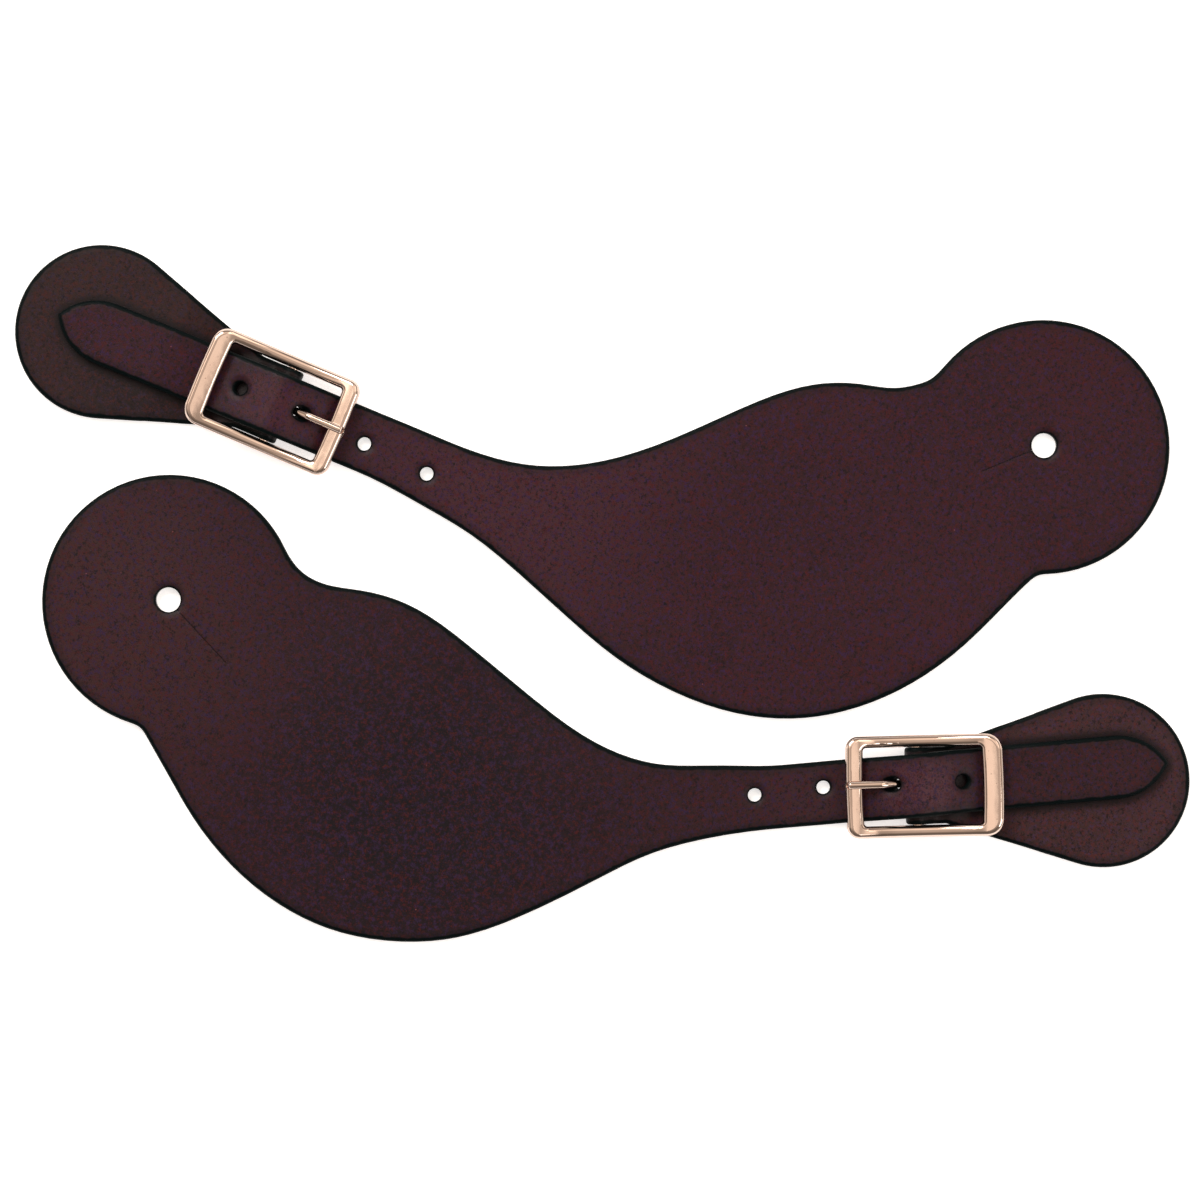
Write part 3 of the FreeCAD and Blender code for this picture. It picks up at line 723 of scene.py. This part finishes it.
def flesh_leather(name):
    """Flesh side: matt suede with short loose fibres."""
    shader = Shader(name)
    fibres = shader.noise(1.8, 6.0, 0.75, distortion=1.2)
    patches = shader.noise(0.12, 3.0)
    body = shader.mix(fibres, colour(62, 36, 32), colour(112, 74, 62))
    body = shader.mix(shader.ramp(patches, 0.4, 0.7, 0.0, 0.4), body, colour(78, 46, 42))
    body = shader.mix(shader.ramp(shader.attribute("edge_mm"), 0.3, 1.6, 0.85, 0.0), body,
                      colour(22, 20, 20))
    return shader.finish(Base_Color=body, Roughness=0.92, Normal=shader.bump(fibres, 0.12, 0.8),
                         Sheen_Weight=0.3, Sheen_Roughness=0.5)


def polished_nickel(name, turn):
    """Nickel plate: bright, with fine hairlines from polishing and faint spots; its warm pink is partly nickel's
    own tint and partly painted reflection of a warm room, and faces turned sideways or down carry painted shade.
    """
    shader = Shader(name)
    hairs = shader.noise(0.9, 5.0, 0.7, shader.place((0.12, 6.0, 1.0), turn))
    cloud = shader.noise(0.11, 3.0)
    spots = shader.ramp(shader.cells(0.55), 0.05, 0.16, 1.0, 0.0)
    # the warm pink of the base is partly nickel's own tint and partly painted reflection of a warm room
    body = shader.mix(cloud, colour(223, 204, 192), colour(204, 181, 168))
    body = shader.mix(shader.maths("MULTIPLY", spots, 0.25), body, colour(150, 122, 100))
    # painted shade: faces that turn sideways or down are painted darker brown
    facing = shader.add("ShaderNodeSeparateXYZ", {0: shader.add("ShaderNodeTexCoord")
                                                   .outputs["Normal"]}).outputs["Z"]
    body = shader.mix(shader.ramp(facing, 0.1, 0.62, 0.8, 0.0), body, colour(148, 104, 84))
    gloss = shader.ramp(hairs, 0.3, 0.75, 0.035, 0.08)
    gloss = shader.maths("ADD", gloss, shader.maths("MULTIPLY", spots, 0.12))
    wave = shader.bump(shader.noise(0.22, 2.0), 0.045, 0.5)
    return shader.finish(Base_Color=body, Roughness=gloss, Metallic=1.0,
                         Normal=shader.bump(hairs, 0.004, 0.5, wave))


def copper(name):
    """Copper rivets and burrs, a little dull, darker in spots."""
    shader = Shader(name)
    tarnish = shader.noise(0.9, 4.0, 0.65)
    body = shader.mix(shader.ramp(tarnish, 0.4, 0.7), colour(205, 138, 104), colour(122, 74, 54))
    gloss = shader.ramp(tarnish, 0.35, 0.7, 0.24, 0.48)
    return shader.finish(Base_Color=body, Roughness=gloss, Metallic=1.0,
                         Normal=shader.bump(shader.noise(3.0, 3.0), 0.01, 0.5))


# ---------------------------------------------------------------- the two straps

# four tones of a grain face: base, red flecks, plum flecks and worn patches
MAIN_TONES = {
    "right": ((44, 19, 25), (64, 17, 20), (47, 24, 58), (48, 22, 28)),
    "left": ((42, 20, 25), (62, 18, 20), (43, 25, 55), (45, 23, 27)),
}
TAB_TONES = {
    "right": ((40, 24, 23), (58, 23, 20), (41, 28, 48), (45, 28, 26)),
    "left": ((54, 34, 35), (72, 30, 31), (56, 37, 60), (59, 38, 40)),
}
# painted shade on each tab under the billet hole that lies on it, so that the hole looks dark
TAB_HOLE_SHADE = {
    "right": [((-0.09042, 0.05127), 1.2, 3.0, (2, 3, 4))],
    "left": [((0.09003, -0.04688), 1.2, 3.0, (2, 3, 4))],
}
# soft spots of another tone: centre (x, y) in metres, inner and outer radius in mm, tone. On the main straps the
# lighter spots are painted sheen, two of them on the humps over the centre bars, and the dark spot on the left
# strap is painted shade
MAIN_SHEEN_AND_SHADE = {
    "right": [((-0.0206, 0.031), 10.0, 60.0, (62, 33, 40)),
              ((0.125, 0.068), 5.0, 40.0, (52, 22, 27)),
              ((-0.081, 0.0473), 7.0, 15.0, (66, 32, 40))],
    "left": [((-0.045, -0.052), 12.0, 75.0, (15, 11, 18)),
             ((-0.125, -0.005), 10.0, 60.0, (54, 30, 32)),
             ((0.055, -0.047), 5.0, 30.0, (52, 29, 33)),
             ((0.079, -0.0481), 7.0, 15.0, (76, 44, 54))],
}
TAB_SPOTS = {
    "right": [((-0.115, 0.052), 4.0, 22.0, (27, 18, 19))],
    "left": [((0.118, -0.062), 4.0, 22.0, (52, 32, 32))],
}
# slow lift of each wing off the floor: height in mm, and which part of the noise it follows
WARP = {"right": (0.9, 3.1), "left": (0.9, 8.7)}
# spacing of the points along the cuts, in mm
OUTER_SPACING = 0.8
HOLE_SPACING = 0.33
# a button hole with its slit has a longer cut than this, and no other hole has
SLIT_LOOP = 38.0
SLIT_HALF_WIDTH = 0.3
SLIT_CLOSED = 0.12
# a rivet's seat and a punched billet hole have shorter cuts than these
RIVET_SEAT_LOOP = 16.0
PUNCHED_LOOP = 20.0
RIVET_HOLE = 1.15
TONGUE_PULL_REACH = 4.5
TONGUE_PULL = 1.12


def cut_kinds(loop, index, hole_centre, hole_radius):
    """Which kind of cut each point of a loop is on."""
    if index == 0:
        return np.full(len(loop), OUTER)
    kinds = np.full(len(loop), HOLE)
    if loop_length(loop) > SLIT_LOOP:
        beyond = np.hypot(*(loop - hole_centre).T) > hole_radius + 0.2
        kinds[beyond] = SLIT
    return kinds


def closed_slit(loop, hole_centre):
    """The loop of a button hole whose slit has closed to a hairline, and the way across it."""
    offsets = loop - hole_centre
    reach = np.hypot(*offsets.T)
    tip = offsets[reach > reach.max() - 0.3].mean(axis=0)
    along = tip / np.hypot(*tip)
    across = np.array([-along[1], along[0]])
    sideways = offsets @ across
    on_slit = (offsets @ along > 0) & (np.abs(sideways) < SLIT_HALF_WIDTH)
    closed = np.where(on_slit, sideways * SLIT_CLOSED, sideways)
    return hole_centre + np.outer(offsets @ along, along) + np.outer(closed, across), across


def pattern_of(loops, bend, button, strap):
    """The pattern in (s, across) of the grain face's cuts."""
    centre = strap.to_local([np.array(button["pos_m"]) / MM])[0]
    centre_s = bend.s_of([[centre[0], button["dims"]["length_mm"]]])[0]
    hole_centre = np.array([centre_s, centre[1]])
    hole_radius = button["dims"]["r_mm"]
    flat_loops = []
    kinds = []
    slit_across = np.zeros(2)
    for index, loop in enumerate(loops):
        flat = np.stack([bend.s_of(loop[:, [0, 2]]), loop[:, 1]], axis=1)
        if index and loop_length(flat) > SLIT_LOOP:
            flat, slit_across = closed_slit(flat, hole_centre)
        flat = resampled(flat, OUTER_SPACING if index == 0 else HOLE_SPACING)
        flat_loops.append(flat)
        kinds.append(cut_kinds(flat, index, hole_centre, hole_radius))
    return Pattern(flat_loops, kinds, bend, slit_across)


def slanted_hole(grain, flesh, bend):
    """Centre of the hole that the tongue has pulled to a slant, and how far its far rim leads."""
    def middles(loops):
        small = [loop for loop in loops[1:] if loop_length(loop) < PUNCHED_LOOP]
        return [np.array([bend.s_of([loop.mean(axis=0)[[0, 2]]])[0], loop[:, 1].mean()])
                for loop in small]

    found = []
    under = middles(flesh)
    for middle in middles(grain):
        gaps = [other - middle for other in under]
        nearest = min(gaps, key=lambda gap: np.hypot(*gap))
        found.append((abs(nearest[0]), middle, nearest[0]))
    _, middle, lead = max(found, key=lambda row: row[0])
    return middle, lead


def shrunk_rivet_holes(loops):
    """The tab's rivet seats as plain punched holes that fit the shanks."""
    changed = []
    for loop in loops:
        if loop_length(loop) < RIVET_SEAT_LOOP:
            middle = loop.mean(axis=0)
            radius = np.hypot(*(loop - middle)[:, :2].T).mean()
            loop = middle + (loop - middle) * (RIVET_HOLE / radius)
        changed.append(loop)
    return changed


def dressed(piece, side, node, materials):
    for material in materials:
        piece.data.materials.append(material)
    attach(piece, f"{side}_strap")
    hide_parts(node)


def make_leather(side, edge, flesh_side):
    strap = StrapFrame(side)
    node = f"{side}_main_strap"
    grain, flesh = grain_and_flesh(node, strap)
    billet = grain[0][:, :2]
    bend = open_bend(grain, flesh)
    pattern = pattern_of(grain, bend, mounts[f"{side}_wing_button_hole"], strap)
    middle, lead = slanted_hole(grain, flesh, bend)
    pulled = (middle, TONGUE_PULL_REACH, lead * TONGUE_PULL)
    piece = cut_leather(f"{side}_strap_leather", strap, pattern, bend, WARP[side], pulled)
    dressed(piece, side, node, [grain_leather(f"{side}_grain", MAIN_TONES[side], MAIN_SHEEN_AND_SHADE[side]),
                                edge, flesh_side])

    node = f"{side}_buckle_tab"
    grain, flesh = grain_and_flesh(node, strap)
    bend = folded_bend(grain, flesh)
    pattern = pattern_of(shrunk_rivet_holes(grain), bend, mounts[f"{side}_tab_button_hole"], strap)
    piece = cut_leather(f"{side}_tab_leather", strap, pattern, bend, (0.0, 0.0), billet=billet)
    dressed(piece, side, node, [grain_leather(f"{side}_tab_grain", TAB_TONES[side], TAB_SPOTS[side],
                                              TAB_HOLE_SHADE[side]), edge, flesh_side])


dyed_edge = edge_leather("dyed_edge")
suede = flesh_leather("suede")
for side in SIDES:
    make_leather(side, dyed_edge, suede)


# ---------------------------------------------------------------- metal pieces

def paint(node, material):
    piece = frame["nodes"][node]
    piece.data.materials.clear()
    piece.data.materials.append(material)


rivet_copper = copper("rivet_copper")
for side in SIDES:
    strap = StrapFrame(side)
    turn = math.atan2(strap.along[1], strap.along[0])
    nickel = polished_nickel(f"{side}_nickel", -turn)
    for part in ("frame", "bar", "tongue"):
        paint(f"{side}_buckle_{part}", nickel)
    for place in ("outer", "inner"):
        for part in ("fold_rivet", "rivet_burr"):
            paint(f"{side}_{part}_{place}", rivet_copper)


# ---------------------------------------------------------------- floor, light, camera

FLOOR_HALF = 3.0


def make_floor():
    half = FLOOR_HALF
    mesh = bpy.data.meshes.new("floor")
    corners = [(-half, -half, 0.0), (half, -half, 0.0), (half, half, 0.0), (-half, half, 0.0)]
    mesh.from_pydata(corners, [], [(0, 1, 2, 3)])
    floor = bpy.data.objects.new("floor", mesh)
    bpy.context.scene.collection.objects.link(floor)
    shader = Shader("floor_paper")
    tooth = shader.noise(0.8, 3.0)
    body = shader.mix(tooth, colour(248, 248, 248), colour(252, 252, 252))
    mesh.materials.append(shader.finish(Base_Color=body, Roughness=0.9, Specular_IOR_Level=0.1,
                                        Emission_Color=(1.0, 1.0, 1.0, 1.0),
                                        Emission_Strength=0.6))


def make_light(name, size, power, place, tint=(1.0, 1.0, 1.0)):
    light = bpy.data.lights.new(name, "AREA")
    light.shape = "RECTANGLE"
    light.size, light.size_y = size
    light.energy = power
    light.color = tint
    lamp = bpy.data.objects.new(name, light)
    lamp.location = place
    lamp.rotation_euler = (-Vector(place)).to_track_quat("-Z", "Y").to_euler()
    bpy.context.scene.collection.objects.link(lamp)


SKY_TINT = (0.46, 0.385, 0.325)
SKY_STRENGTH = 6.8
HORIZON = (0.15, 0.15, 0.15, 1.0)
# brightness of the sky against how far its direction leans to either side along X
SKY_SIDEWAYS = ((0.0, 0.5), (0.2, 0.46), (0.31, 0.36), (0.34, 0.42), (0.36, 0.95), (0.41, 0.95),
                (0.43, 0.44), (0.445, 0.42), (0.46, 0.9), (0.51, 0.9), (0.53, 0.42), (0.6, 0.3),
                (0.7, 0.15), (0.8, 0.18), (0.88, 0.6), (1.0, 0.45))
# brightness against how far it leans from -Y, at 0, to +Y, at 1
SKY_LENGTHWAYS = ((0.0, 0.3), (0.04, 0.12), (0.25, 0.15), (0.35, 0.3), (0.44, 0.46), (0.55, 0.5),
                  (0.61, 0.9), (0.78, 0.9), (0.84, 0.42), (0.925, 0.2), (0.965, 0.22),
                  (0.985, 0.6), (1.0, 0.5))


def band_ramp(nodes, links, value, stops):
    """The brightness that stops give along a value from 0 to 1."""
    ramp = nodes.new("ShaderNodeValToRGB")
    links.new(value, ramp.inputs["Fac"])
    elements = ramp.color_ramp.elements
    for element, (position, level) in zip(elements, (stops[0], stops[-1])):
        element.position = position
        element.color = (level, level, level, 1.0)
    for position, level in stops[1:-1]:
        elements.new(position).color = (level, level, level, 1.0)
    return ramp.outputs["Color"]


def sky_mix(nodes, links, blend, share, first, second):
    mix = nodes.new("ShaderNodeMix")
    mix.data_type = "RGBA"
    mix.blend_type = blend
    for socket, value in ((0, share), (6, first), (7, second)):
        if isinstance(value, bpy.types.NodeSocket):
            links.new(value, mix.inputs[socket])
        else:
            mix.inputs[socket].default_value = value
    return mix.outputs[2]


def make_world():
    """A pale warm room, white at the horizon, with bands that show as lines in polished metal."""
    world = bpy.data.worlds.new("room")
    world.use_nodes = True
    bpy.context.scene.world = world
    nodes = world.node_tree.nodes
    links = world.node_tree.links
    where = nodes.new("ShaderNodeTexCoord")
    split = nodes.new("ShaderNodeSeparateXYZ")
    links.new(where.outputs["Generated"], split.inputs[0])
    sideways = nodes.new("ShaderNodeMath")
    sideways.operation = "ABSOLUTE"
    links.new(split.outputs["X"], sideways.inputs[0])
    lengthways = nodes.new("ShaderNodeMapRange")
    lengthways.inputs["From Min"].default_value = -1.0
    links.new(split.outputs["Y"], lengthways.inputs["Value"])
    low = nodes.new("ShaderNodeMapRange")
    for key, value in (("From Min", 0.08), ("From Max", 0.3), ("To Min", 1.0), ("To Max", 0.0)):
        low.inputs[key].default_value = value
    links.new(split.outputs["Z"], low.inputs["Value"])

    across = band_ramp(nodes, links, sideways.outputs[0], SKY_SIDEWAYS)
    along = band_ramp(nodes, links, lengthways.outputs["Result"], SKY_LENGTHWAYS)
    sky = sky_mix(nodes, links, "MULTIPLY", 1.0, across, along)
    sky = sky_mix(nodes, links, "MULTIPLY", 1.0, sky, (*SKY_TINT, 1.0))
    sky = sky_mix(nodes, links, "MIX", low.outputs["Result"], sky, HORIZON)
    links.new(sky, nodes["Background"].inputs["Color"])
    nodes["Background"].inputs["Strength"].default_value = SKY_STRENGTH


CAMERA_HEIGHT = 1.05
FIELD = 0.3
LEATHER_HEIGHT = 0.0028
# how far the camera stands from the middle of the pair, which sits a little high and right
CAMERA_SHIFT = (-0.0006, -0.00165)


def make_camera():
    """Straight above the pair, as far away as makes the frame 0.3 m wide on the leather."""
    low, high = cad_box
    middle = (low + high) / 2
    camera = bpy.data.cameras.new("camera")
    camera.sensor_width = 36.0
    camera.lens = camera.sensor_width * (CAMERA_HEIGHT - LEATHER_HEIGHT) / FIELD
    camera.clip_start = 0.05
    camera.clip_end = 20.0
    viewer = bpy.data.objects.new("camera", camera)
    viewer.location = (middle.x + CAMERA_SHIFT[0], middle.y + CAMERA_SHIFT[1], CAMERA_HEIGHT)
    bpy.context.scene.collection.objects.link(viewer)
    bpy.context.scene.camera = viewer


make_floor()
make_world()
make_light("key", (0.9, 0.6), 12.0, (-0.5, 0.9, 1.1), (1.0, 0.98, 0.95))
make_light("fill", (0.7, 0.7), 4.2, (0.9, -0.5, 0.9), (1.0, 0.98, 0.96))
make_camera()
bpy.context.scene.view_settings.view_transform = "Standard"
